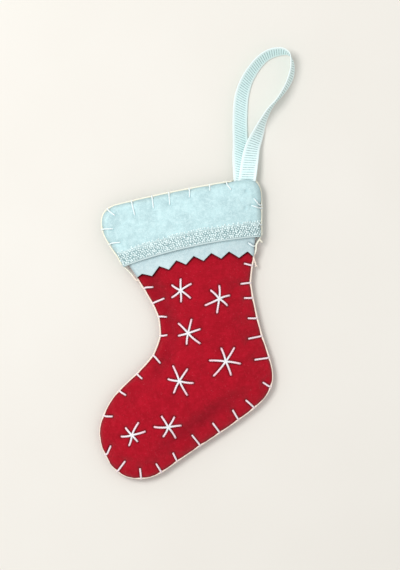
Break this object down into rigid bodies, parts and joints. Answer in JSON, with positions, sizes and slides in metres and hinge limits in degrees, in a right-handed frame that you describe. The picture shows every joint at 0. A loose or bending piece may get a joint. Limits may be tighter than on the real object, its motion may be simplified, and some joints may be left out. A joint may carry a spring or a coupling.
{
  "type": "felt christmas stocking ornament",
  "caption": "Small stuffed felt stocking with a cuff, metallic braid, embroidered snowflakes, blanket-stitched edges and a ribbon loop to hang it by.",
  "frame": {"origin": "on the flat of the back, in the middle of the ankle", "axes": "+Z out of the decorated front, +Y up the leg to the cuff, -X towards the toe"},
  "size_m": [0.1028, 0.1603, 0.0109],
  "materials": {
    "red_felt": "matt felt",
    "white_felt": "matt felt",
    "white_felt_under": "matt felt, a little greyer",
    "polyester_fibre": "loose fibre",
    "cotton_thread": "stranded embroidery thread",
    "metallic_braid": "woven metallic yarn, glittering",
    "grosgrain": "ribbed, slightly silky"
  },
  "bodies": {
    "stocking": {"front_panel": "red_felt", "back_panel": "red_felt", "stuffing": "polyester_fibre", "cuff_front": "white_felt", "cuff_back": "white_felt", "cuff_underlay": "white_felt_under", "silver_braid": "metallic_braid", "ribbon_sewn_end": "grosgrain", "boot_stitching": "cotton_thread", "cuff_stitching": "cotton_thread", "snowflake_1": "cotton_thread", "snowflake_2": "cotton_thread", "snowflake_3": "cotton_thread", "snowflake_4": "cotton_thread", "snowflake_5": "cotton_thread", "snowflake_6": "cotton_thread", "snowflake_7": "cotton_thread"},
    "hanging_loop": {"ribbon_loop": "grosgrain"}
  },
  "joints": [
    {"name": "ribbon_swing", "type": "hinge", "parent": "stocking", "child": "hanging_loop", "pos_m": [0.028, 0.05657, 0.00408], "axis": [1, 0, 0], "range_deg": [-75, 90]}
  ]
}
